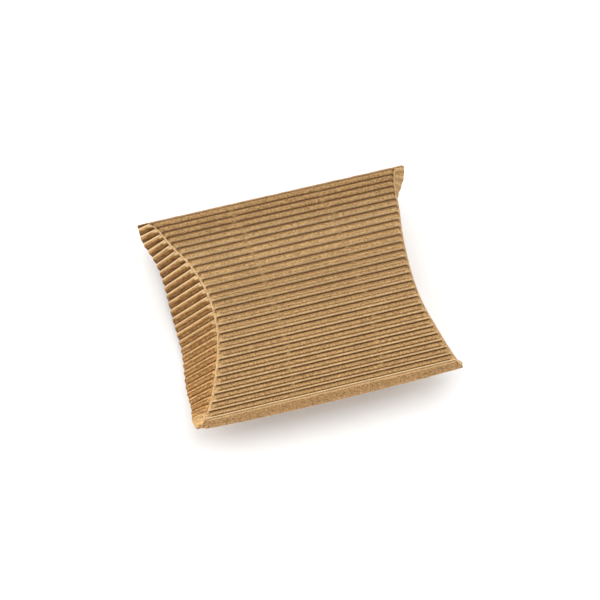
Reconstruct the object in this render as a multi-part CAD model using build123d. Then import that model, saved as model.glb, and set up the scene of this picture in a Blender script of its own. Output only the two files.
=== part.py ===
from build123d import *
import math
import os

# Pillow-shaped favor box folded from single-face corrugated kraft board.
# Flutes face out and run along X. The box lies on its belly, Z up,
# origin on the floor under the middle of the box. All sizes in mm.

# Folded box
box_length = 107.0
box_width = 80.0
arch_rise = 13.8
crease_inset = 14.4

# Board
liner = 0.4
medium = 0.3
crushed_medium = 0.35
flute_pitch = 3.06
flute_height = 1.2
flute_facets = 8

# Bands where the creasing rule crushed the flutes
near_band_least = 2.0
far_band = 0.6
crease_band = 2.2

# End flaps
outer_flap_length = 27.2
outer_flap_lean = 11.5
outer_flap_tip_trim = 3.0
inner_flap_length = 13.8
inner_flap_lean = -8.0
inner_flap_tip_trim = 11.0
outer_fold_clearance = 0.35
inner_fold_clearance = 1.2

# Glue seam inside the far side
glue_tab_width = 11.0
glue_tab_from_fold = 2.8
glue_tab_setback = 5.0
glue_strip_width = 6.0
glue_film = 0.12

# Depth to which the belly's lowest crests are pressed flat
belly_flat = 0.22


class Arch:
    """A circular arch over the chord between the long folds.

    bow is 1 where the outer face is convex, -1 where it is concave.
    """

    def __init__(self, half_span, rise, bow):
        self.rise = rise
        self.bow = bow
        self.radius = (half_span**2 + rise**2) / (2 * rise)
        self.half_angle = math.asin(half_span / self.radius)

    def at(self, offset, angle):
        """Point at an angle from the crown, offset outward from mid-liner."""
        reach = self.radius + self.bow * offset
        height = self.rise - self.radius + reach * math.cos(angle)
        return (reach * math.sin(angle), self.bow * height)

    def angle_at(self, y, offset):
        """Angle at which the sheet reaches a distance y from the middle."""
        return math.asin(y / (self.radius + self.bow * offset))


def curved_sheet(arch, low, high, start, stop):
    """Section of a plain curved sheet between two offsets and two angles."""
    turns = (start, (start + stop) / 2, stop)
    inner = [arch.at(low, turn) for turn in turns]
    outer = [arch.at(high, turn) for turn in turns]
    outline = [
        ThreePointArc(*inner),
        Line(inner[-1], outer[-1]),
        ThreePointArc(*outer[::-1]),
        Line(outer[0], inner[0]),
    ]
    return make_face(outline)


def fluted_sheet(arch, start, stop):
    """Section of the fluted medium, its grooves bonded to the liner."""
    steps = flute_count * flute_facets
    inner = []
    outer = []
    for step in range(steps + 1):
        angle = start + (stop - start) * step / steps
        wave = (1 - math.cos(2 * math.pi * step / flute_facets)) / 2
        lift = liner / 2 + (flute_height - medium) * wave
        inner.append(arch.at(lift, angle))
        outer.append(arch.at(lift + medium, angle))
    return make_face(Polyline(*inner, *outer[::-1], close=True))


def along_box(section):
    """Extrude a section, drawn over the fold line, along the whole box."""
    return extrude(side_plane * section, amount=box_length / 2, both=True)


def corner_plane(angle, shift=(0, 0, 0)):
    """Plane through the left corner line, tilted up from level by angle.

    Its normal points down and inward, to the side that is kept.
    """
    tilt = math.radians(angle)
    origin = Vector(-box_length / 2, 0, fold_height) + Vector(*shift)
    normal = (math.sin(tilt), 0, -math.cos(tilt))
    return Plane(origin=origin, x_dir=(0, 1, 0), z_dir=normal)


def trim_ends(solid, setback=0.0):
    """Cut both ends of a top piece along the curved creases."""
    cut = corner_plane(crease_angle, (setback, 0, 0))
    half = split(solid, bisect_by=cut, keep=Keep.TOP)
    half = split(mirror(half, about=Plane.YZ), bisect_by=cut, keep=Keep.TOP)
    return mirror(half, about=Plane.YZ)


def upside_down(solid):
    """Mirror a top piece to the bottom panel."""
    return mirror(solid, about=Plane.XY.offset(fold_height))


def long_fold(band_start):
    """Crushed strip bent round a rounded nose along the far side."""
    leg = curved_sheet(
        panel_arch, -liner / 2, liner / 2 + crushed_medium, band_start, panel_arch.half_angle
    )
    nose = Pos(half_span, 0) * Circle(liner / 2 + crushed_medium)
    strip = trim_ends(along_box(leg + mirror(leg, about=Plane.XZ) + nose))
    return upside_down(trim_ends(upside_down(strip)))


def left_flap(lean, length, tip_trim, fold_clearance):
    """Liner and flutes of an end flap hung from the left top crease."""
    swing = math.radians(lean)
    down = Vector(-math.sin(swing), 0, -math.cos(swing))
    flap_plane = Plane(
        origin=(-box_length / 2, 0, fold_height), x_dir=(0, 1, 0), z_dir=-down
    )
    bow_depth = crease_inset * math.cos(swing) - arch_rise * math.sin(swing)
    flap_arch = Arch(half_span, bow_depth, -1)

    # The flap starts clear of the top liner and ends at its free edge
    fold_turn = math.radians(crease_angle) + swing
    start = liner / 2 * (math.tan(fold_turn) + 1) + fold_clearance
    top_cut = corner_plane(crease_angle, down * start)
    free_x = crease_inset + down.X * length
    free_z = arch_rise + down.Z * length
    free_cut = corner_plane(math.degrees(math.atan2(free_z, free_x)))
    side_cut = Plane(origin=(0, box_width / 2 - tip_trim, 0), z_dir=(0, -1, 0))

    sections = [
        curved_sheet(
            flap_arch, -liner / 2, liner / 2,
            -flap_arch.half_angle, flap_arch.half_angle,
        ),
        fluted_sheet(
            flap_arch,
            flap_arch.angle_at(near_groove_y, liner / 2),
            flap_arch.angle_at(far_groove_y, liner / 2),
        ),
    ]
    pieces = []
    for section in sections:
        piece = extrude(flap_plane * section, amount=box_width, both=True)
        piece = split(piece, bisect_by=side_cut, keep=Keep.TOP)
        piece = mirror(piece, about=Plane.XZ)
        piece = split(piece, bisect_by=side_cut, keep=Keep.TOP)
        piece = split(piece, bisect_by=top_cut, keep=Keep.TOP)
        pieces.append(split(piece, bisect_by=free_cut, keep=Keep.BOTTOM))
    return pieces


# Heights, the arch of the panels and the run of flutes across it
crushed_board = liner + crushed_medium
half_span = box_width / 2 - liner / 2 - crushed_medium
fold_height = arch_rise + liner / 2 + flute_height - belly_flat
crease_angle = math.degrees(math.atan2(arch_rise, crease_inset))
panel_arch = Arch(half_span, arch_rise, 1)
side_plane = Plane(origin=(0, 0, fold_height), x_dir=(0, 1, 0), z_dir=(1, 0, 0))

bond_radius = panel_arch.radius + liner / 2
panel_run = 2 * panel_arch.half_angle * bond_radius - far_band - near_band_least
flute_count = int(panel_run / flute_pitch)
far_angle = panel_arch.half_angle - far_band / bond_radius
near_angle = far_angle - flute_count * flute_pitch / bond_radius
far_groove_y = bond_radius * math.sin(far_angle)
near_groove_y = bond_radius * math.sin(near_angle)

# Panels
top_liner = trim_ends(
    along_box(curved_sheet(panel_arch, -liner / 2, liner / 2, near_angle, far_angle))
)
top_flutes = trim_ends(
    along_box(fluted_sheet(panel_arch, near_angle, far_angle)), crease_band
)
bottom_flutes = split(upside_down(top_flutes), bisect_by=Plane.XY, keep=Keep.TOP)

# Strips of crushed flutes along the curved creases
crushed_skin = trim_ends(
    along_box(
        curved_sheet(
            panel_arch, liner / 2, liner / 2 + crushed_medium, near_angle, far_angle
        )
    )
)
strip_cut = corner_plane(crease_angle, (crease_band, 0, 0))
left_crease = split(crushed_skin, bisect_by=strip_cut, keep=Keep.BOTTOM)

# Long folds
far_fold = long_fold(far_angle)
near_fold = mirror(long_fold(-near_angle), about=Plane.XZ)

# Glue tab on the inner face of the bottom panel, and its film of glue
tab_top = -liner / 2 - glue_film
tab_stop = panel_arch.half_angle - glue_tab_from_fold / panel_arch.radius
tab_start = tab_stop - glue_tab_width / panel_arch.radius
strip_margin = (glue_tab_width - glue_strip_width) / 2 / panel_arch.radius
glue_tab = upside_down(
    trim_ends(
        along_box(
            curved_sheet(
                panel_arch, tab_top - crushed_board, tab_top, tab_start, tab_stop
            )
        ),
        glue_tab_setback,
    )
)
glue_strip = upside_down(
    trim_ends(
        along_box(
            curved_sheet(
                panel_arch, tab_top, -liner / 2,
                tab_start + strip_margin, tab_stop - strip_margin,
            )
        ),
        glue_tab_setback,
    )
)

# End flaps
outer_liner, outer_flutes = left_flap(
    outer_flap_lean, outer_flap_length, outer_flap_tip_trim, outer_fold_clearance
)
inner_liner, inner_flutes = [
    upside_down(piece)
    for piece in left_flap(
        inner_flap_lean, inner_flap_length, inner_flap_tip_trim, inner_fold_clearance
    )
]

nodes = {
    "top_panel_liner": top_liner,
    "top_panel_flutes": top_flutes,
    "bottom_panel_liner": upside_down(top_liner),
    "bottom_panel_flutes": bottom_flutes,
    "far_side_fold": far_fold,
    "near_side_fold": near_fold,
    "glue_tab": glue_tab,
    "glue_strip": glue_strip,
    "left_top_crease": left_crease,
    "left_bottom_crease": upside_down(left_crease),
    "left_outer_flap_liner": outer_liner,
    "left_outer_flap_flutes": outer_flutes,
    "left_inner_flap_liner": inner_liner,
    "left_inner_flap_flutes": inner_flutes,
}
for name in list(nodes):
    if name.startswith("left_"):
        nodes[name.replace("left_", "right_")] = mirror(nodes[name], about=Plane.YZ)

os.makedirs("parts", exist_ok=True)
for name, solid in nodes.items():
    solid.label = name
    export_step(solid, f"parts/{name}.step")
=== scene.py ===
import bpy
import math
import numpy as np
from mathutils import Matrix, Vector


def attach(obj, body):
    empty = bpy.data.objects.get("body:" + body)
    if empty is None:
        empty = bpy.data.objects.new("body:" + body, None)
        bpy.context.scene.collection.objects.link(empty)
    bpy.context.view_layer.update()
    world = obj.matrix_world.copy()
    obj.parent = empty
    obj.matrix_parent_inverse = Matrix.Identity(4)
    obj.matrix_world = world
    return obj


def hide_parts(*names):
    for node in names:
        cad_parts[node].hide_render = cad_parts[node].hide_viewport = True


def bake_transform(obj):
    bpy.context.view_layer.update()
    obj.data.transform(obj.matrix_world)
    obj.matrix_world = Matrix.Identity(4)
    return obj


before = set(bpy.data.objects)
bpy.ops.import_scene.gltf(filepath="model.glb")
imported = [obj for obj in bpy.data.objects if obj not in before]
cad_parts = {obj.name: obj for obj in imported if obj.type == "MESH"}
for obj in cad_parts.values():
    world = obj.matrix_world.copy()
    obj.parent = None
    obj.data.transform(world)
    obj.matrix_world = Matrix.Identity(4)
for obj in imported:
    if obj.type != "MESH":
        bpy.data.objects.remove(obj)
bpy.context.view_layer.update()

MM = 0.001
METRE = 1000
FULL_TURN = 2 * math.pi

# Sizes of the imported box, in mm
LENGTH = 107.0
WIDTH = 80.0
RISE = 13.8
INSET = 14.4
LINER = 0.4
MEDIUM = 0.3
CRUSHED = 0.35
PITCH = 3.06
HEIGHT = 1.2
NEAR_BAND_LEAST = 2.0
FAR_BAND = 0.6
BELLY = 0.22
OUTER_FLAP_LENGTH = 27.2
INNER_FLAP_LENGTH = 13.8
INNER_FLAP_LEAN = -8.0
INNER_TIP_TRIM = 11.0

# Height of the long folds, arch of a panel and its run of flutes
FOLD_Z = RISE + LINER / 2 + HEIGHT - BELLY
HALF_SPAN = WIDTH / 2 - LINER / 2 - CRUSHED
RADIUS = (HALF_SPAN**2 + RISE**2) / (2 * RISE)
HALF_ANGLE = math.asin(HALF_SPAN / RADIUS)
BOND = RADIUS + LINER / 2
COUNT = int((2 * HALF_ANGLE * BOND - FAR_BAND - NEAR_BAND_LEAST) / PITCH)
FAR_ANGLE = HALF_ANGLE - FAR_BAND / BOND
NEAR_ANGLE = FAR_ANGLE - COUNT * PITCH / BOND
SKIN = LINER / 2 + CRUSHED
WAVE = HEIGHT - MEDIUM

# Angles to which the flaps reach, and the slack at the ends of the flutes
CORNER_SLACK = 0.001
ANGLE_SLACK = 1e-9
OUTER_LIMIT = HALF_ANGLE - CORNER_SLACK
INNER_LIMIT = math.asin((WIDTH / 2 - INNER_TIP_TRIM) / RADIUS)

# Points across one flute where it shows, where it is hidden and in a liner
SHOWN_STEPS = 20
HIDDEN_STEPS = 10
LINER_STEPS = 4

# Gap between sheets that would touch, and roughness of the fluted paper, in mm
SHEET_GAP = 0.02
PAPER_ROUGH = 0.03

RIPPLE_WAVES = 7
RIPPLE_SPREAD = (0.6, 1.6)
RIPPLE_PEAK = 3.2


def smooth(low, high, x):
    """Eased step from 0 at low to 1 at high, where low may be the greater."""
    t = np.clip((x - low) / (high - low), 0, 1)
    return t * t * (3 - 2 * t)


def bump(x, middle, width):
    """Rounded peak of 1 at the middle, fading over the width."""
    return np.exp(-(((x - middle) / width) ** 2))


def ripple(x, y, seed, size):
    """Smooth irregularity of about -1 to 1, repeatable from its seed, in waves of about the size."""
    rng = np.random.default_rng(seed)
    total = np.zeros(np.broadcast(x, y).shape)
    for _ in range(RIPPLE_WAVES):
        turn = rng.uniform(0, FULL_TURN)
        scale = rng.uniform(*RIPPLE_SPREAD) * FULL_TURN / size
        phase = rng.uniform(0, FULL_TURN)
        total = total + np.sin(scale * (x * math.cos(turn) + y * math.sin(turn)) + phase)
    return total / RIPPLE_PEAK


def lift(a):
    """Height of the arch over the long folds at angle a from the crown."""
    return RADIUS * np.cos(a) - (RADIUS - RISE)


def across(a):
    """Place across the box: -1 at the near fold, 0 at the crown, 1 at the far fold."""
    return a / HALF_ANGLE


def flute_phase(a):
    """From 0 in a flute's near groove to 1 in its far one."""
    return (a - NEAR_ANGLE) * BOND / PITCH % 1


# Shape of a flute and of the painted shade on its crests and in its grooves, places and widths as shares
# of the pitch
CREST_PLACE = 0.40
CREST_SHIFT = 0.08
CREST_WIDTH = 0.108
CREST_DENT = 0.10
WAVE_POWER = 0.75
NEAR_GROOVE = 0.115
NEAR_GROOVE_LOSS = 0.01
FAR_GROOVE = 0.15
GROOVE_SPREAD = 0.45


def flute_marks(a):
    """Height of the flutes from 0 to 1, and how near a crest line and a groove are, which set where
    shade is painted.
    """
    phase = flute_phase(a)
    fluted = (a > NEAR_ANGLE - ANGLE_SLACK) & (a < FAR_ANGLE + ANGLE_SLACK)
    v = across(a)
    crest = bump(phase, CREST_PLACE + CREST_SHIFT * smooth(0.1, -0.8, v), CREST_WIDTH)
    height = (0.5 - 0.5 * np.cos(FULL_TURN * phase)) ** WAVE_POWER - CREST_DENT * crest
    wide = 1 + GROOVE_SPREAD * smooth(0.2, 0.8, v)
    near_width = NEAR_GROOVE - NEAR_GROOVE_LOSS * smooth(-0.4, 0.2, v)
    groove = bump(phase, 0, near_width * wide) + bump(phase, 1, FAR_GROOVE * wide)
    return height * fluted, crest * fluted, groove * fluted


def crest_tone(v):
    """The painted shade lines along the crests are missing on the far half and strong at the near fold.
    """
    return 0.5 * smooth(0.5, 0.0, v) + 0.5 * smooth(0.2, -0.8, v)


# Height that the last flute loses beside the near fold, and where it has it again, in mm
NEAR_CRUSH = 0.7
NEAR_CRUSH_REACH = (0.4, 1.5)


def near_crush(a):
    """Share of its height that the last flute keeps beside the near fold."""
    return 1 - NEAR_CRUSH * (1 - smooth(*NEAR_CRUSH_REACH, (a - NEAR_ANGLE) * BOND))


def fluted_angles(steps):
    """Angles across the flutes, with so many steps to each."""
    return np.linspace(NEAR_ANGLE, FAR_ANGLE, COUNT * steps + 1)[:, None]


# Where across the box the crease starts to run in at the near corner, and where it dips
NEAR_TUCK_FROM = 0.5
NEAR_DIP_PLACE = -0.35
NEAR_DIP_WIDTH = 0.3


class End:
    """One end of a panel, drawn as a left end: a curved crease and its flap.

    The flap is ruled from the crease down to its free edge. The crease runs in a
    little at the corners, where the flap's tips flare out.
    """

    def __init__(self, splay, length, ramp, shift=0.0, far_tuck=0.0, near_tuck=0.0, tuck_from=0.62,
                 near_dip=0.0, smoothing=0.0, contrast=1.0):
        self.splay = splay
        self.length = length
        self.ramp = ramp
        self.shift = shift
        self.far_tuck = far_tuck
        self.near_tuck = near_tuck
        self.tuck_from = tuck_from
        self.near_dip = near_dip
        self.smoothing = smoothing
        self.contrast = contrast

    def tuck(self, v):
        """How far the crease runs in at the corners, in mm."""
        at_far = self.far_tuck * smooth(self.tuck_from, 1, v)
        return at_far + self.near_tuck * smooth(NEAR_TUCK_FROM, 1, -v)

    def crease_x(self, a):
        """Place of the crease along the box."""
        slope = (INSET + self.shift) / RISE
        v = across(a)
        dip = self.near_dip * bump(v, NEAR_DIP_PLACE, NEAR_DIP_WIDTH)
        return -LENGTH / 2 + lift(a) * slope + self.tuck(v) + dip

    def crease(self, a):
        """Points of the crease."""
        return np.stack([self.crease_x(a), RADIUS * np.sin(a), FOLD_Z + lift(a)], -1)

    def free_edge(self, a):
        """Points of the flap's free edge."""
        lean, flare = self.splay(across(a))
        swing = np.radians(lean)
        share = lift(a) / RISE
        x = -LENGTH / 2 + share * (INSET + self.shift - self.length * np.sin(swing)) - flare
        z = FOLD_Z + share * (RISE - self.length * np.cos(swing))
        return np.stack([x, RADIUS * np.sin(a), z], -1)

    def rulings(self, a):
        """Unit direction of the flap down from each point of the crease, and its length."""
        run = self.free_edge(a) - self.crease(a)
        reach = np.linalg.norm(run, axis=-1)
        return run / reach[..., None], reach


def ruled_normal(points, ruling):
    """Unit normals of a grid of points that lie along rulings."""
    sideways = np.gradient(points, axis=0)
    normal = np.cross(sideways, np.broadcast_to(ruling, points.shape))
    return normal / np.linalg.norm(normal, axis=2, keepdims=True)


# Lean of the outer flaps, in degrees
LEFT_LEAN = 14.0
RIGHT_LEAN = 5.0


def left_splay(v):
    """Lean of the left outer flap in degrees, and how far it flares out, in mm."""
    far_part = 3 * smooth(0.1, 0.6, v)
    near_part = 8 * smooth(0.1, 0.7, -v)
    near_tip = 3 * smooth(0.6, 0.9, -v)
    middle = 2 * bump(v, 0.0, 0.45)
    lean = LEFT_LEAN - far_part + near_part - near_tip + middle
    near_flare = 1.3 * bump(v, -0.95, 0.12) * (1 - 0.8 * smooth(0.92, 1.0, -v))
    far_flare = 1.2 * bump(v, 0.84, 0.13)
    return lean, far_flare + near_flare


def right_splay(v):
    """Lean of the right outer flap in degrees, and how far it flares out, in mm."""
    lean = RIGHT_LEAN + 6 * smooth(0.4, 0.8, v)
    far_flare = 1.2 * bump(v, 0.88, 0.12)
    near_flare = 0.5 * bump(v, -0.97, 0.035)
    return lean, far_flare + near_flare


def inner_splay(v):
    """Lean of an inner flap in degrees; it doesn't flare."""
    return INNER_FLAP_LEAN + 0 * v, 0 * v


left_outer = End(left_splay, OUTER_FLAP_LENGTH, ramp=1.2, shift=0.4, far_tuck=3.8, near_tuck=2.0)
right_outer = End(right_splay, OUTER_FLAP_LENGTH, ramp=6.0, shift=-0.5, far_tuck=3.2, near_tuck=1.0,
                  tuck_from=0.42, near_dip=0.7, smoothing=0.6, contrast=0.3)
inner_end = End(inner_splay, INNER_FLAP_LENGTH, ramp=1.2)

# Crumple of the near left corner: its size and reach in mm, and its share to the inside
CRUMPLE = 0.2
CRUMPLE_REACH = (2.0, 9.0)
CRUMPLE_INWARD = 0.5


def warp(points):
    """The near left corner is crumpled, the same for every piece there."""
    corner = np.array([-LENGTH / 2, -HALF_SPAN, FOLD_Z])
    away = np.linalg.norm(points - corner, axis=-1)
    amount = CRUMPLE * (1 - smooth(*CRUMPLE_REACH, away))
    x, y, z = points[..., 0], points[..., 1], points[..., 2]
    out = points.copy()
    out[..., 0] += amount * ripple(y, z, seed=71, size=4.6)
    out[..., 1] += amount * ripple(x, z, seed=72, size=4.2) + CRUMPLE_INWARD * amount
    out[..., 2] += amount * ripple(x, y, seed=73, size=4.8)
    return out


def turned(points, top=True, left=True):
    """Take points made for the left end of the top to another end."""
    out = points.copy()
    if not top:
        out[..., 2] = 2 * FOLD_Z - out[..., 2]
    if not left:
        out[..., 0] = -out[..., 0]
    return warp(out)


def grid_faces(rows, cols, start, flip):
    """Four-sided faces of a grid of points that are numbered from start."""
    i, j = np.meshgrid(np.arange(rows - 1), np.arange(cols - 1), indexing="ij")
    k = (start + i * cols + j).ravel()
    quad = np.stack([k, k + 1, k + cols + 1, k + cols], 1)
    return quad[:, ::-1] if flip else quad


def sheet(name, outer, inner, marks, flip):
    """A thin closed sheet between two grids of points, with a crisp rim."""
    rows, cols = outer.shape[:2]
    count = rows * cols
    over = outer.reshape(-1, 3)
    under = inner.reshape(-1, 3)
    index = np.arange(count).reshape(rows, cols)
    points = [over, under]
    faces = [grid_faces(rows, cols, 0, flip), grid_faces(rows, cols, count, not flip)]
    picks = [index.ravel(), index.ravel()]
    start = 2 * count
    rims = ((index[0], False), (index[-1], True), (index[:, 0], True), (index[:, -1], False))
    for edge, turn in rims:
        size = len(edge)
        k = start + np.arange(size - 1)
        quad = np.stack([k, k + size, k + size + 1, k + 1], 1)
        faces.append(quad[:, ::-1] if turn != flip else quad)
        points += [over[edge], under[edge]]
        picks += [edge, edge]
        start += 2 * size
    mesh = bpy.data.meshes.new(name)
    mesh.from_pydata((np.concatenate(points) * MM).tolist(), [], np.concatenate(faces).tolist())
    mesh.polygons.foreach_set("use_smooth", [True] * len(mesh.polygons))
    picks = np.concatenate(picks)
    for mark, values in marks.items():
        attribute = mesh.attributes.new(mark, "FLOAT", "POINT")
        attribute.data.foreach_set("value", values.ravel()[picks].astype(np.float32))
    mesh.update()
    obj = bpy.data.objects.new(name, mesh)
    bpy.context.scene.collection.objects.link(obj)
    return obj


def panel_base(x, a):
    """Points in the middle of a panel's liner."""
    return np.stack([x, RADIUS * np.sin(a) + 0 * x, FOLD_Z + lift(a) + 0 * x], -1)


def panel_normal(a):
    """Outward direction of a panel."""
    return np.stack([0 * a, np.sin(a), np.cos(a)], -1)


# Ridge over the fold at an end: turns of its points, and its sizes in mm
BEAD_TURNS = np.radians([88, 76, 64, 52, 40, 28, 14])
BEAD_TOP = math.radians(50)
BEAD_SIZE = 0.42
BEAD_SWELL = 0.12
BEAD_ROUGH = 0.05
BEAD_FLUTE_RISE = 0.06
MIRROR_X = np.array([-1, 1, 1])


def bead(end, a):
    """Rounded ridge over the fold at an end, from the flap round to the panel."""
    crease = end.crease(a)
    side = ruled_normal(crease, end.rulings(a)[0])
    rough = BEAD_ROUGH * ripple(a * BOND, 0 * a, seed=41, size=1.3) + BEAD_FLUTE_RISE * flute_marks(a)[0]
    columns = []
    for turn in BEAD_TURNS:
        swell = BEAD_SIZE + (BEAD_SWELL * bump(turn, BEAD_TOP, 0.25) + rough)[..., None]
        columns.append(crease + swell * (math.cos(turn) * panel_normal(a) + math.sin(turn) * side))
    return np.concatenate(columns, 1)


# Columns of points on a panel: in mm from each crease, and between those as shares
CREASE_COLUMNS = np.array([0, 0.2, 0.4, 0.65, 0.95, 1.3, 1.7, 2.1, 2.6, 3.3, 4.4])[None, :]
MIDDLE_COLUMNS = np.linspace(0, 1, 62)[None, 1:-1]
LINER_COLUMNS = np.linspace(0, 1, 41)[None, :]

# Two faint lines pressed across the flutes: place as a share of the length, and strength
PRESSED_LINES = ((-0.15, 0.7), (0.18, 0.6))
PRESSED_WAVER = 0.008
PRESSED_SLANT = 0.06
PRESSED_WIDTH = 0.6
PRESSED_LOSS = 0.3

# Unevenness of a panel's flutes as a share, and lift of their ends at a crease in mm
PANEL_UNEVEN = 0.06
CREASE_LIFT = 0.05

# Strengths of the marks on a panel, painted highlights and painted shade among them, and what some of
# them gain or lose
NEAR_SIDE_HIGHLIGHT = 0.22
CREASE_WEAR = 0.1
NEAR_EDGE_WEAR = 0.4
NEAR_EDGE_LINE = 0.75
FAR_SIDE_SHADE = 0.5
FAR_SIDE_RELIEF = 0.42
FAR_PAINTED_SHADE = 0.28
BEAD_PAINTED_SHADOW = 0.3
RIDGE_WEAR_AND_HIGHLIGHT = 0.75
RIDGE_UNEVEN = 0.3
RIDGE_NEAR_LOSS = 0.5

# Where the painted shade on a flute's far side starts, as shares of the pitch
SHADE_FROM = 0.54
SHADE_SHIFT = 0.08
SHADE_RUN = 0.18


def panel_columns(left, right, a):
    """Places of a panel's points along the box, and how far they are from its creases."""
    first = left.crease_x(a)
    last = -right.crease_x(a)
    reach = CREASE_COLUMNS[0, -1]
    run = first + reach + (last - first - 2 * reach) * MIDDLE_COLUMNS
    x = np.concatenate([first + CREASE_COLUMNS, run, (last - CREASE_COLUMNS)[:, ::-1]], 1)
    return x, np.minimum(x - first, last - x)


def pressed_lines(x, s):
    """How near a point is to the lines pressed across the flutes."""
    pressed = 0 * x
    for place, depth in PRESSED_LINES:
        line = LENGTH * (place + PRESSED_WAVER * ripple(s, 0 * s, seed=21, size=9)) - PRESSED_SLANT * s
        pressed = pressed + depth * bump(x, line, PRESSED_WIDTH)
    return pressed


def panel_marks(a, from_crease, pressed, left, right):
    """Rubbed pale places, painted highlights, painted shade and crest lines on a panel's skin and on the
    ridges at its ends.
    """
    s = a * BOND
    v = across(a)
    phase = flute_phase(a)
    from_near = s - NEAR_ANGLE * BOND
    _, crest, groove = flute_marks(a)

    # Pale line along each crease's ridge: partly rubbed, cracked paper, partly painted highlight
    line = bump(BEAD_TURNS, BEAD_TOP, 0.17)[None, :]
    uneven = RIDGE_WEAR_AND_HIGHLIGHT + RIDGE_UNEVEN * ripple(s, 0 * s, seed=43, size=1.2)
    ridge = line * uneven * (1 - RIDGE_NEAR_LOSS * smooth(0.5, 0.9, -v))
    plain = np.zeros_like(ridge)

    # Painted highlight on each flute's near-facing side, toward the near fold; the pale lines at the
    # creases and beside the near fold are rubbed paper
    near_side = NEAR_SIDE_HIGHLIGHT * bump(phase, 0.2, 0.1) * smooth(0.85, 0.5, v)
    at_crease = CREASE_WEAR * (1 - smooth(0.0, 0.3, from_crease))
    wear_and_near_highlight = near_side + at_crease + NEAR_EDGE_WEAR * bump(from_near, 0.78, 0.17)

    # Painted shade in the grooves and in a line beside the near fold, lighter where lines are pressed
    # across the flutes
    near_line = NEAR_EDGE_LINE * bump(from_near, 0.36, 0.15)
    groove = groove * smooth(0.6, 1.4, from_near) + near_line
    open_groove = groove * smooth(0.1, 0.8, from_crease) * (1 - pressed)
    # Painted shade on each flute's far-facing side, and painted shade deepening toward the far fold
    shade_from = SHADE_FROM - SHADE_SHIFT * smooth(0.2, 0.6, v)
    shade = FAR_SIDE_SHADE - FAR_SIDE_RELIEF * smooth(0.1, -0.7, v)
    far_side = shade * smooth(shade_from, shade_from + SHADE_RUN, phase)
    far_painted_shade = FAR_PAINTED_SHADE * smooth(0.3, 0.9, v) + far_side
    # Painted shadow beside each crease's ridge
    dark = np.maximum(open_groove, far_painted_shade) + BEAD_PAINTED_SHADOW * bump(from_crease, 0.4, 0.2)

    # Painted shade along the dent in each crest
    painted_crest_shade = crest * crest_tone(v) * smooth(0.6, 2.4, from_crease)
    return {
        "wear_and_highlight": np.concatenate([ridge * left.contrast, wear_and_near_highlight, ridge[:, ::-1] * right.contrast], 1),
        "painted_shade_and_streaks": np.concatenate([plain, dark, plain], 1),
        "crest_shade": np.concatenate([plain, painted_crest_shade, plain], 1),
    }


def panel_flutes(top, left, right, steps):
    """Fluted skin of a panel with the folded ridges at both ends."""
    a = fluted_angles(steps)
    s = a * BOND
    x, from_crease = panel_columns(left, right, a)
    height = flute_marks(a)[0] * near_crush(a)
    full = smooth(-0.5, 1.5, from_crease) * (1 + PANEL_UNEVEN * ripple(x, s, seed=11, size=24))
    pressed = pressed_lines(x, s)
    full = full * (1 - PRESSED_LOSS * pressed)
    offset = LINER / 2 + MEDIUM + WAVE * height * full
    offset = offset + PAPER_ROUGH * ripple(x, s, seed=31, size=1.7) + CREASE_LIFT * (1 - full)
    base = panel_base(x, a)
    normal = panel_normal(a)
    outer = base + normal * offset[..., None]
    inner = base + normal * (LINER / 2 + SHEET_GAP)

    bead_left = bead(left, a)
    bead_right = bead(right, a)[:, ::-1] * MIRROR_X
    inner_left = np.repeat(inner[:, :1], len(BEAD_TURNS), 1)
    inner_right = np.repeat(inner[:, -1:], len(BEAD_TURNS), 1)
    outer = turned(np.concatenate([bead_left, outer, bead_right], 1), top)
    inner = turned(np.concatenate([inner_left, inner, inner_right], 1), top)
    if not top:
        outer[..., 2] = np.maximum(outer[..., 2], 0)
    marks = panel_marks(a, from_crease, pressed, left, right)
    name = "top" if top else "bottom"
    obj = sheet(f"{name}_flutes", outer, inner, marks, flip=not top)
    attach(obj, "sleeve")
    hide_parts(f"{name}_panel_flutes", f"left_{name}_crease", f"right_{name}_crease")
    return obj


def panel_liner(top, left, right):
    """Flat inner paper of a panel."""
    a = fluted_angles(LINER_STEPS)
    x = left.crease_x(a) * (1 - LINER_COLUMNS) - right.crease_x(a) * LINER_COLUMNS
    base = panel_base(x, a)
    normal = panel_normal(a) * LINER / 2
    outer = turned(base + normal, top)
    inner = turned(base - normal, top)
    name = "top" if top else "bottom"
    obj = sheet(f"{name}_liner", outer, inner, {}, flip=not top)
    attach(obj, "sleeve")
    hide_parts(f"{name}_panel_liner")
    return obj


# Points of a long fold: across each leg, round its nose and along the box
LEG_POINTS = 30
NOSE_POINTS = 11
FOLD_COLUMNS = 60
FOLD_COLUMNS_SKIPPED = 4
FOLD_END_COLUMNS = np.array([0, 0.4, 0.9, 1.6, 2.5, 3.6, 5.0]) / LENGTH

# Sizes of a long fold in mm: its lip beside the flutes, its nose, bow and roughness
LIP = 0.14
LIP_PLACE = 0.21
NOSE_DEPTH = 0.3
BOW_LEAST = 0.9
BOW_MORE = 0.9
FOLD_ROUGH = 0.06

# Share of the bow at the left end, and how much finer the roughness is across than along
BOW_AT_END = 0.3
FOLD_GRAIN = 3

# Strengths of the marks on the long folds: pale rubbed paper and painted highlight on the lip, and a
# line of painted shade
NEAR_LIP_WEAR = 0.55
FAR_LIP_WEAR = 0.15
FOLD_LINE = 0.15


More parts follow.
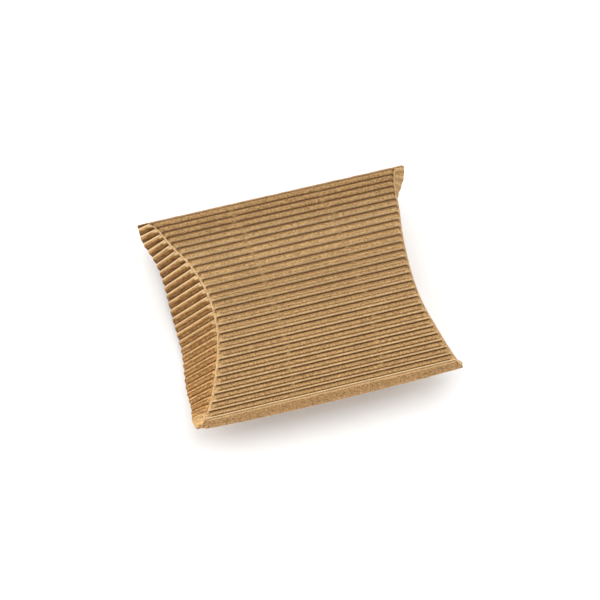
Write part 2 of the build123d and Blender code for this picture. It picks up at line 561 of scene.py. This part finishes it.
def side_fold(near):
    """The crushed strip along a long fold, with the fine lines of its crease."""
    start = -NEAR_ANGLE if near else FAR_ANGLE
    side = -1 if near else 1
    leg = np.linspace(start, HALF_ANGLE, LEG_POINTS)
    run = (leg - start) * BOND
    skin = RADIUS + SKIN + LIP * bump(run, LIP_PLACE, 0.2)
    back = RADIUS - LINER / 2
    base = RADIUS - RISE
    turn = np.linspace(math.pi / 2 - HALF_ANGLE, HALF_ANGLE - math.pi / 2, NOSE_POINTS)[1:-1]
    nose = 0 * turn

    def over_nose(upper, middle, lower):
        return np.concatenate([upper, middle, lower[::-1]])[:, None]

    leg_y = skin * np.sin(leg)
    leg_z = skin * np.cos(leg) - base
    back_y = back * np.sin(leg)
    back_z = np.maximum(back * np.cos(leg) - base, SHEET_GAP)
    y = over_nose(leg_y, HALF_SPAN + SKIN * np.cos(turn), leg_y)
    z = over_nose(leg_z, SKIN * np.sin(turn), -leg_z)
    deep_y = over_nose(back_y, nose + HALF_SPAN - NOSE_DEPTH, back_y)
    deep_z = over_nose(back_z, nose, -back_z)
    angle = over_nose(leg, nose + HALF_ANGLE, leg)
    middle = np.linspace(0, 1, FOLD_COLUMNS)[FOLD_COLUMNS_SKIPPED:-FOLD_COLUMNS_SKIPPED]
    q = np.concatenate([FOLD_END_COLUMNS, middle, 1 - FOLD_END_COLUMNS[::-1]])[None, :]

    def along(y, z):
        """The section carried along the box; the near fold bows out, most at its middle."""
        cut = -LENGTH / 2 + np.abs(z) * INSET / RISE
        tucked = smooth(0.1, 0.7, z)
        first = cut + left_outer.tuck(side) * tucked
        last = -cut - right_outer.tuck(side) * tucked
        x = first * (1 - q) + last * q
        bow = 0 * x
        if near:
            bow = BOW_LEAST + BOW_MORE * (1 - (2 * x / LENGTH) ** 2)
            bow = bow * (BOW_AT_END + (1 - BOW_AT_END) * smooth(0, 4, x - first))
        out = side * (y + bow * smooth(start, HALF_ANGLE, angle))
        return np.stack([x, out, FOLD_Z + z + 0 * x], -1)

    outer = along(y, z)
    inner = along(deep_y, deep_z)
    outer[..., 1] += FOLD_ROUGH * ripple(outer[..., 0], y * FOLD_GRAIN, seed=51, size=8.0)
    outer[..., 2] += FOLD_ROUGH * ripple(outer[..., 0], z * FOLD_GRAIN, seed=52, size=6.0)
    edge = over_nose(run, nose + run[-1], run) + 0 * outer[..., 0]
    wear_and_highlight = (NEAR_LIP_WEAR if near else FAR_LIP_WEAR) * bump(edge, LIP_PLACE, 0.18)
    # Line of painted shade along the fold's crease
    painted_shade_and_streaks = FOLD_LINE * bump(edge, 1.3, 0.4)
    name = "near_fold" if near else "far_fold"
    obj = sheet(name, warp(outer), warp(inner), {"wear_and_highlight": wear_and_highlight, "painted_shade_and_streaks": painted_shade_and_streaks}, flip=near)
    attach(obj, "sleeve")
    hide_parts("near_side_fold" if near else "far_side_fold")
    return obj


# Points of a flap: in its crushed ends, and down from the crease as shares of its length
FLAP_END_POINTS = 7
ROOT_SHARES = [0, 0.01, 0.02, 0.035, 0.05, 0.07, 0.1]
FLAP_SHARES = np.concatenate([ROOT_SHARES, np.linspace(0.14, 1, 28)])[None, :]

# Sizes of a flap in mm: spread of its tips, and thicker paper where the crease pinches it
TIP_SPREAD = 0.2
PINCH = 0.12

# How full a flap's flutes are, as shares, and how much narrower at the crease
FLAP_FULL = 0.85
FREE_EDGE_LOSS = 0.35
NEAR_CORNER_LOSS = 0.7
FLAP_UNEVEN = 0.08
ROOT_NARROWING = 1.6

# Marks on a flap, painted highlights and painted shade among them: strengths, sharpness of the bright
# tips and scale along the streaks
LIT_SIDE = 0.75
BRIGHT_TIP = 0.6
BRIGHT_TIP_POWER = 6
DIM_SIDE = 0.15
DIM_SIDE_FAR = 0.3
FLAP_FAR_PAINTED_SHADE = 0.32
FLAP_STREAKS = 0.22
STREAK_SCALE = 0.1
ROOT_SLOT_SHADE = 0.85
CORNER_WEAR = 0.2
CORNER_RELIEF = 0.7
FLAP_CREST = 0.4
FLAP_CREST_NEAR = 0.4


def flap_angles(limit, steps):
    """Angles across a flap: the fluted run and the crushed ends beyond it."""
    a = fluted_angles(steps)[:, 0]
    a = a[np.abs(a) < limit]
    far = np.linspace(a[-1], limit, FLAP_END_POINTS)[1:]
    near = np.linspace(-limit, a[0], FLAP_END_POINTS)[:-1]
    return np.concatenate([near, a, far])[:, None]


def flap_rise(end, left, a, t, reach):
    """Height of the underside of a flap's flutes over the middle of its liner."""
    s = a * BOND
    v = across(a)
    height = flute_marks(a)[0]
    full = (
        smooth(-0.3, end.ramp, t)
        * smooth(0.8, 5.0, reach)
        * (1 + FLAP_UNEVEN * ripple(t, s, seed=61 + left, size=16))
        * (1 - end.smoothing * smooth(0.45, 0.8, v))
        * (1 - NEAR_CORNER_LOSS * smooth(0.84, 0.95, -v))
        * (FLAP_FULL - FREE_EDGE_LOSS * smooth(0.55, 1.0, FLAP_SHARES))
    )
    narrow = 1 + ROOT_NARROWING * (1 - smooth(0.0, 2.4, t))
    wave = LINER / 2 + WAVE * np.abs(height) ** narrow * full
    return wave + PAPER_ROUGH * ripple(t, s, seed=65, size=1.9)


def flap_marks(end, a, t):
    """Rubbed pale places, painted highlights, painted shade, streaks and crest lines on a flap's skin.
    """
    v = across(a)
    phase = flute_phase(a)
    height, crest, groove = flute_marks(a)
    # Painted highlight on each flute's far side
    lit_side = LIT_SIDE * bump(phase, 0.84, 0.085) * smooth(-0.6, 0.3, v) * smooth(0.0, 0.5, t)
    at_root = 1 - smooth(0.4, 2.2, t)
    # Bright tips of the pinched flutes at the crease: partly pale crushed paper, partly painted
    # highlight
    bright_tip = BRIGHT_TIP * np.abs(height) ** BRIGHT_TIP_POWER * at_root * smooth(-0.5, 0.2, v)
    # Painted shade on the flutes' near sides, deepening toward the flap's far end, and in the grooves
    # and the slots between the pinched flutes at the crease; the streaks are the paper's fibres
    dim_side = (DIM_SIDE + DIM_SIDE_FAR * smooth(-0.5, 0.5, v)) * smooth(0.65, 0.1, phase)
    far_painted_shade = FLAP_FAR_PAINTED_SHADE * smooth(-0.9, 0.5, v)
    root_slot_shade = ROOT_SLOT_SHADE * bump(phase, 0.12, 0.2) * (1 - smooth(0.3, 1.3, t)) * smooth(-0.2, 0.4, v)
    hollow = np.maximum(groove * smooth(0.05, 0.4, t), root_slot_shade)
    streaks = FLAP_STREAKS * np.clip(ripple(a * BOND, STREAK_SCALE * t, seed=67, size=0.8), 0, 1)
    dark = np.maximum(hollow, dim_side + far_painted_shade + streaks)
    corner = smooth(0.84, 0.93, -v) + 0 * t
    # Painted shade along the dent in each flute's crest
    crest_strength = FLAP_CREST + FLAP_CREST_NEAR * smooth(0.4, -0.2, v)
    return {
        "wear_and_highlight": end.contrast * (lit_side + bright_tip) + CORNER_WEAR * corner,
        "painted_shade_and_streaks": end.contrast * dark * (1 - CORNER_RELIEF * corner),
        "crest_shade": crest * smooth(0.3, 1.4, t) * crest_strength,
    }


def flap(end, left, outer_one, limit, steps):
    """Fluted skin and liner of an end flap that hangs on its curved crease."""
    side = "left" if left else "right"
    which = "outer" if outer_one else "inner"
    a = flap_angles(limit, steps)
    ruling, reach = end.rulings(a)
    t = reach * FLAP_SHARES
    points = end.crease(a) + ruling * t[..., None]
    if outer_one:
        points[..., 1] += TIP_SPREAD * np.sign(a) * smooth(0.86, 1.0, np.abs(across(a)))
    normal = ruled_normal(points, ruling)
    rise = flap_rise(end, left, a, t, reach)
    pinch = PINCH * (1 - smooth(0.0, 0.6, t))
    skin_over = points + normal * (rise + MEDIUM + pinch)[..., None]
    skin_under = points + normal * rise[..., None]
    liner_over = points + normal * (LINER / 2 - SHEET_GAP)
    liner_under = points - normal * LINER / 2
    sheets = (
        ("flutes", skin_over, skin_under, flap_marks(end, a, t)),
        ("liner", liner_over, liner_under, {}),
    )
    made = []
    for part, over, under, marks in sheets:
        obj = sheet(
            f"{side}_{which}_flap_{part}_skin",
            turned(over, outer_one, left),
            turned(under, outer_one, left),
            marks,
            flip=left != outer_one,
        )
        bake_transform(obj)
        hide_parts(f"{side}_{which}_flap_{part}")
        made.append(obj)
    return made


# Paper: its finish, and how its fibres, clouds and specks vary in tone
PAPER_ROUGHNESS = 0.9
PAPER_SHINE = 0.2
NOISE_ROUGHNESS = 0.65
FIBRE_DETAIL = 3
FIBRE_RANGE = (0.32, 0.68)
FIBRE_DARKER = 0.58
FIBRE_LIGHTER = 0.4
FIBRE_BLEACH = 0.05
CLOUD_SCALE = 70
CLOUD_DETAIL = 2
CLOUD_RANGE = (0.3, 0.7)
CLOUD_TINT = (0.92, 0.92, 0.91)
SPECK_SCALE = 1700
SPECK_STRETCH = (0.6, 1, 1)
SPECK_DETAIL = 1
SPECK_RANGE = (0.26, 0.33)
SPECK_TINT = (0.66, 0.62, 0.56)
NO_STRETCH = (1, 1, 1)
WHITE = (1, 1, 1)
CREST_SHADE_STRENGTH = 0.95
SHADE_AND_STREAKS_STRENGTH = 1.0
WEAR_AND_HIGHLIGHT_STRENGTH = 0.95
GRAIN_STRENGTH = 0.5
GRAIN_DEPTH = 0.15 * MM

# Inputs and output of Blender's colour mix
MIX_AMOUNT = 0
MIX_FIRST = 6
MIX_SECOND = 7
MIX_RESULT = 2


def srgb(*values):
    """Linear colour from display values of 0 to 255."""
    return tuple(((v / 255 + 0.055) / 1.055) ** 2.4 for v in values)


def plain_tree(owner):
    """Empty node tree of a material or world."""
    owner.use_nodes = True
    owner.node_tree.nodes.clear()
    return owner.node_tree


def kraft(name, colour, dark, light, fleck=1.0, grain_share=1.0, fibre_scale=1900,
          fibre_stretch=(0.8, 1.0, 1.0)):
    """Unbleached paper: fibres, flecks, painted shade in grooves and along crests, and rubbed creases
    with painted highlights.
    """
    material = bpy.data.materials.new(name)
    tree = plain_tree(material)
    link = tree.links.new

    def node(kind, **values):
        made = tree.nodes.new(kind)
        for key, value in values.items():
            setattr(made, key, value)
        return made

    out = node("ShaderNodeOutputMaterial")
    shader = node("ShaderNodeBsdfPrincipled")
    shader.inputs["Roughness"].default_value = PAPER_ROUGHNESS
    shader.inputs["Specular IOR Level"].default_value = PAPER_SHINE
    link(shader.outputs[0], out.inputs[0])
    where = node("ShaderNodeTexCoord")

    def noise(scale, stretch, detail):
        mapping = node("ShaderNodeMapping")
        mapping.inputs["Scale"].default_value = stretch
        link(where.outputs["Object"], mapping.inputs[0])
        texture = node("ShaderNodeTexNoise")
        texture.inputs["Scale"].default_value = scale
        texture.inputs["Detail"].default_value = detail
        texture.inputs["Roughness"].default_value = NOISE_ROUGHNESS
        link(mapping.outputs[0], texture.inputs[0])
        return texture.outputs["Fac"]

    def ramp(value, span, low_colour, high_colour):
        made = node("ShaderNodeValToRGB")
        stops = made.color_ramp.elements
        for stop, position, shade in zip(stops, span, (low_colour, high_colour)):
            stop.position = position
            stop.color = (*shade, 1)
        link(value, made.inputs[0])
        return made.outputs[0]

    def mix(kind, amount, first, second):
        made = node("ShaderNodeMix", data_type="RGBA", blend_type=kind)
        for socket, value in ((MIX_AMOUNT, amount), (MIX_FIRST, first), (MIX_SECOND, second)):
            if hasattr(value, "is_linked"):
                link(value, made.inputs[socket])
            else:
                made.inputs[socket].default_value = value
        return made.outputs[MIX_RESULT]

    def mark(label, strength):
        made = node("ShaderNodeMath", operation="MULTIPLY")
        link(node("ShaderNodeAttribute", attribute_name=label).outputs["Fac"], made.inputs[0])
        made.inputs[1].default_value = strength
        return made.outputs[0]

    fibres = noise(fibre_scale, fibre_stretch, FIBRE_DETAIL)
    low = [c * (1 - FIBRE_DARKER * grain_share) for c in colour]
    high = [min(1, c * (1 + FIBRE_LIGHTER * grain_share) + FIBRE_BLEACH * grain_share) for c in colour]
    base = ramp(fibres, FIBRE_RANGE, low, high)
    clouds = noise(CLOUD_SCALE, NO_STRETCH, CLOUD_DETAIL)
    base = mix("MULTIPLY", 1.0, base, ramp(clouds, CLOUD_RANGE, CLOUD_TINT, WHITE))
    specks = noise(SPECK_SCALE, SPECK_STRETCH, SPECK_DETAIL)
    base = mix("MULTIPLY", fleck, base, ramp(specks, SPECK_RANGE, SPECK_TINT, WHITE))
    # Dark crest lines and grooves are painted shade; the pale marks are rubbed paper and painted
    # highlights
    base = mix("MIX", mark("crest_shade", CREST_SHADE_STRENGTH), base, (*dark, 1))
    base = mix("MIX", mark("painted_shade_and_streaks", SHADE_AND_STREAKS_STRENGTH), base, (*dark, 1))
    base = mix("MIX", mark("wear_and_highlight", WEAR_AND_HIGHLIGHT_STRENGTH), base, (*light, 1))
    link(base, shader.inputs["Base Color"])
    grain = node("ShaderNodeBump")
    grain.inputs["Strength"].default_value = GRAIN_STRENGTH
    grain.inputs["Distance"].default_value = GRAIN_DEPTH
    link(fibres, grain.inputs["Height"])
    link(grain.outputs[0], shader.inputs["Normal"])
    return material


# Papers of the box, each with its own, its darkest and its palest colour; the darkest goes on as painted
# shade and streaks, the palest as rubbed paper and painted highlights
flute_paper = kraft("kraft_flutes", srgb(188, 147, 92), srgb(64, 34, 7), srgb(250, 230, 188))
# The left flap's copy of the kraft, its tones set for how light falls on that flap
flap_paper = kraft("kraft_flap", srgb(197, 147, 82), srgb(76, 40, 8), srgb(246, 220, 172),
                   fibre_scale=1800, fibre_stretch=(1.0, 1.0, 0.3))
liner_paper = kraft("kraft_liner", srgb(180, 143, 92), srgb(140, 105, 68), srgb(214, 180, 134),
                    fleck=0.5, grain_share=0.45)
# A darker copy of the kraft that stands in for shade on the long folds, also used on the glue tab
fold_paper = kraft("kraft_fold", srgb(159, 121, 73), srgb(86, 58, 30), srgb(226, 192, 146))
glue_film = kraft("glue_film", srgb(214, 204, 184), srgb(180, 170, 150), srgb(224, 216, 200),
                  fleck=0.4)


def give(obj, material):
    """Make a piece of one material."""
    obj.data.materials.clear()
    obj.data.materials.append(material)


give(panel_flutes(True, left_outer, right_outer, SHOWN_STEPS), flute_paper)
give(panel_liner(True, left_outer, right_outer), liner_paper)
give(panel_flutes(False, inner_end, inner_end, HIDDEN_STEPS), flute_paper)
give(panel_liner(False, inner_end, inner_end), liner_paper)
for near in (True, False):
    give(side_fold(near), fold_paper)
for left, end in ((True, left_outer), (False, right_outer)):
    skin_paper = flap_paper if left else flute_paper
    for pieces in (
        flap(end, left, True, OUTER_LIMIT, SHOWN_STEPS),
        flap(inner_end, left, False, INNER_LIMIT, HIDDEN_STEPS),
    ):
        for piece, paper in zip(pieces, (skin_paper, liner_paper)):
            give(piece, paper)
give(bpy.data.objects["glue_tab"], fold_paper)
give(bpy.data.objects["glue_strip"], glue_film)

# Camera at the photograph's angle, aimed so that the box sits where it does there
TURN_X = -0.1789
TURN_Y = 0.319
TURN_Z = 0.2878
PIXELS_PER_MM = 2.674
PICTURE_PX = 600
BOX_RIGHT_PX = 0.59
BOX_UP_PX = 4.41
DISTANCE = 2.4
SENSOR = 36.0
view = (
    Matrix.Rotation(TURN_Z, 3, "Z") @ Matrix.Rotation(TURN_X, 3, "X") @ Matrix.Rotation(TURN_Y, 3, "Y")
)
right, up, back = (row.copy() for row in view)
centre = Vector((0, 0, FOLD_Z * MM))
aim = centre - (right * BOX_RIGHT_PX + up * BOX_UP_PX) * MM / PIXELS_PER_MM
camera_data = bpy.data.cameras.new("camera")
camera_data.sensor_width = SENSOR
camera_data.lens = PIXELS_PER_MM * DISTANCE * METRE * SENSOR / PICTURE_PX
camera = bpy.data.objects.new("camera", camera_data)
bpy.context.scene.collection.objects.link(camera)
camera.matrix_world = Matrix.Translation(aim + back * DISTANCE) @ view.transposed().to_4x4()
bpy.context.scene.camera = camera


def scaled_camera_ray(tree, base, extra):
    """A strength of base, with extra for what the camera sees directly."""
    path = tree.nodes.new("ShaderNodeLightPath")
    scale = tree.nodes.new("ShaderNodeMath")
    scale.operation = "MULTIPLY_ADD"
    scale.inputs[1].default_value = extra
    scale.inputs[2].default_value = base
    tree.links.new(path.outputs["Is Camera Ray"], scale.inputs[0])
    return scale.outputs[0]


# Floor that is white to the camera and keeps the soft shadow
FLOOR_SIZE = 0.8
FLOOR_DROP = 0.05 * MM
FLOOR_COLOUR = (0.93, 0.93, 0.93, 1)
FLOOR_GLOW = 0.03
floor_mesh = bpy.data.meshes.new("floor")
corners = [(-1, -1), (1, -1), (1, 1), (-1, 1)]
floor_mesh.from_pydata([(x * FLOOR_SIZE, y * FLOOR_SIZE, 0) for x, y in corners], [], [(0, 1, 2, 3)])
floor = bpy.data.objects.new("floor", floor_mesh)
floor.location.z = -FLOOR_DROP
bpy.context.scene.collection.objects.link(floor)
floor_material = bpy.data.materials.new("floor")
tree = plain_tree(floor_material)
out = tree.nodes.new("ShaderNodeOutputMaterial")
diffuse = tree.nodes.new("ShaderNodeBsdfDiffuse")
diffuse.inputs["Color"].default_value = FLOOR_COLOUR
glow = tree.nodes.new("ShaderNodeEmission")
tree.links.new(scaled_camera_ray(tree, 0.0, FLOOR_GLOW), glow.inputs["Strength"])
add = tree.nodes.new("ShaderNodeAddShader")
tree.links.new(diffuse.outputs[0], add.inputs[0])
tree.links.new(glow.outputs[0], add.inputs[1])
tree.links.new(add.outputs[0], out.inputs[0])
floor_mesh.materials.append(floor_material)

# Even light from all round, seen as white by the camera
WORLD_LIGHT = 0.22
WORLD_SEEN = 0.78
world = bpy.data.worlds.new("studio")
bpy.context.scene.world = world
tree = plain_tree(world)
out = tree.nodes.new("ShaderNodeOutputWorld")
ground = tree.nodes.new("ShaderNodeBackground")
tree.links.new(scaled_camera_ray(tree, WORLD_LIGHT, WORLD_SEEN), ground.inputs["Strength"])
ground.inputs["Color"].default_value = (*WHITE, 1)
tree.links.new(ground.outputs[0], out.inputs["Surface"])

# Soft lights: name, place and size in metres, and power in watts
LIGHTS = (
    ("key", (-0.15, 0.81, 1.08), 2.4, 27.4),
    ("left", (-1.2, 0.3, 0.60), 1.0, 10.8),
    ("right", (1.2, 0.3, 0.60), 1.0, 5.8),
    ("fill", (0.1, -1.3, 0.28), 0.7, 17.0),
)
for name, place, size, power in LIGHTS:
    data = bpy.data.lights.new(name, "AREA")
    data.shape = "DISK"
    data.size = size
    data.energy = power
    lamp = bpy.data.objects.new(name, data)
    lamp.location = place
    lamp.rotation_euler = (centre - lamp.location).to_track_quat("-Z", "Y").to_euler()
    bpy.context.scene.collection.objects.link(lamp)

bpy.context.scene.view_settings.view_transform = "Standard"
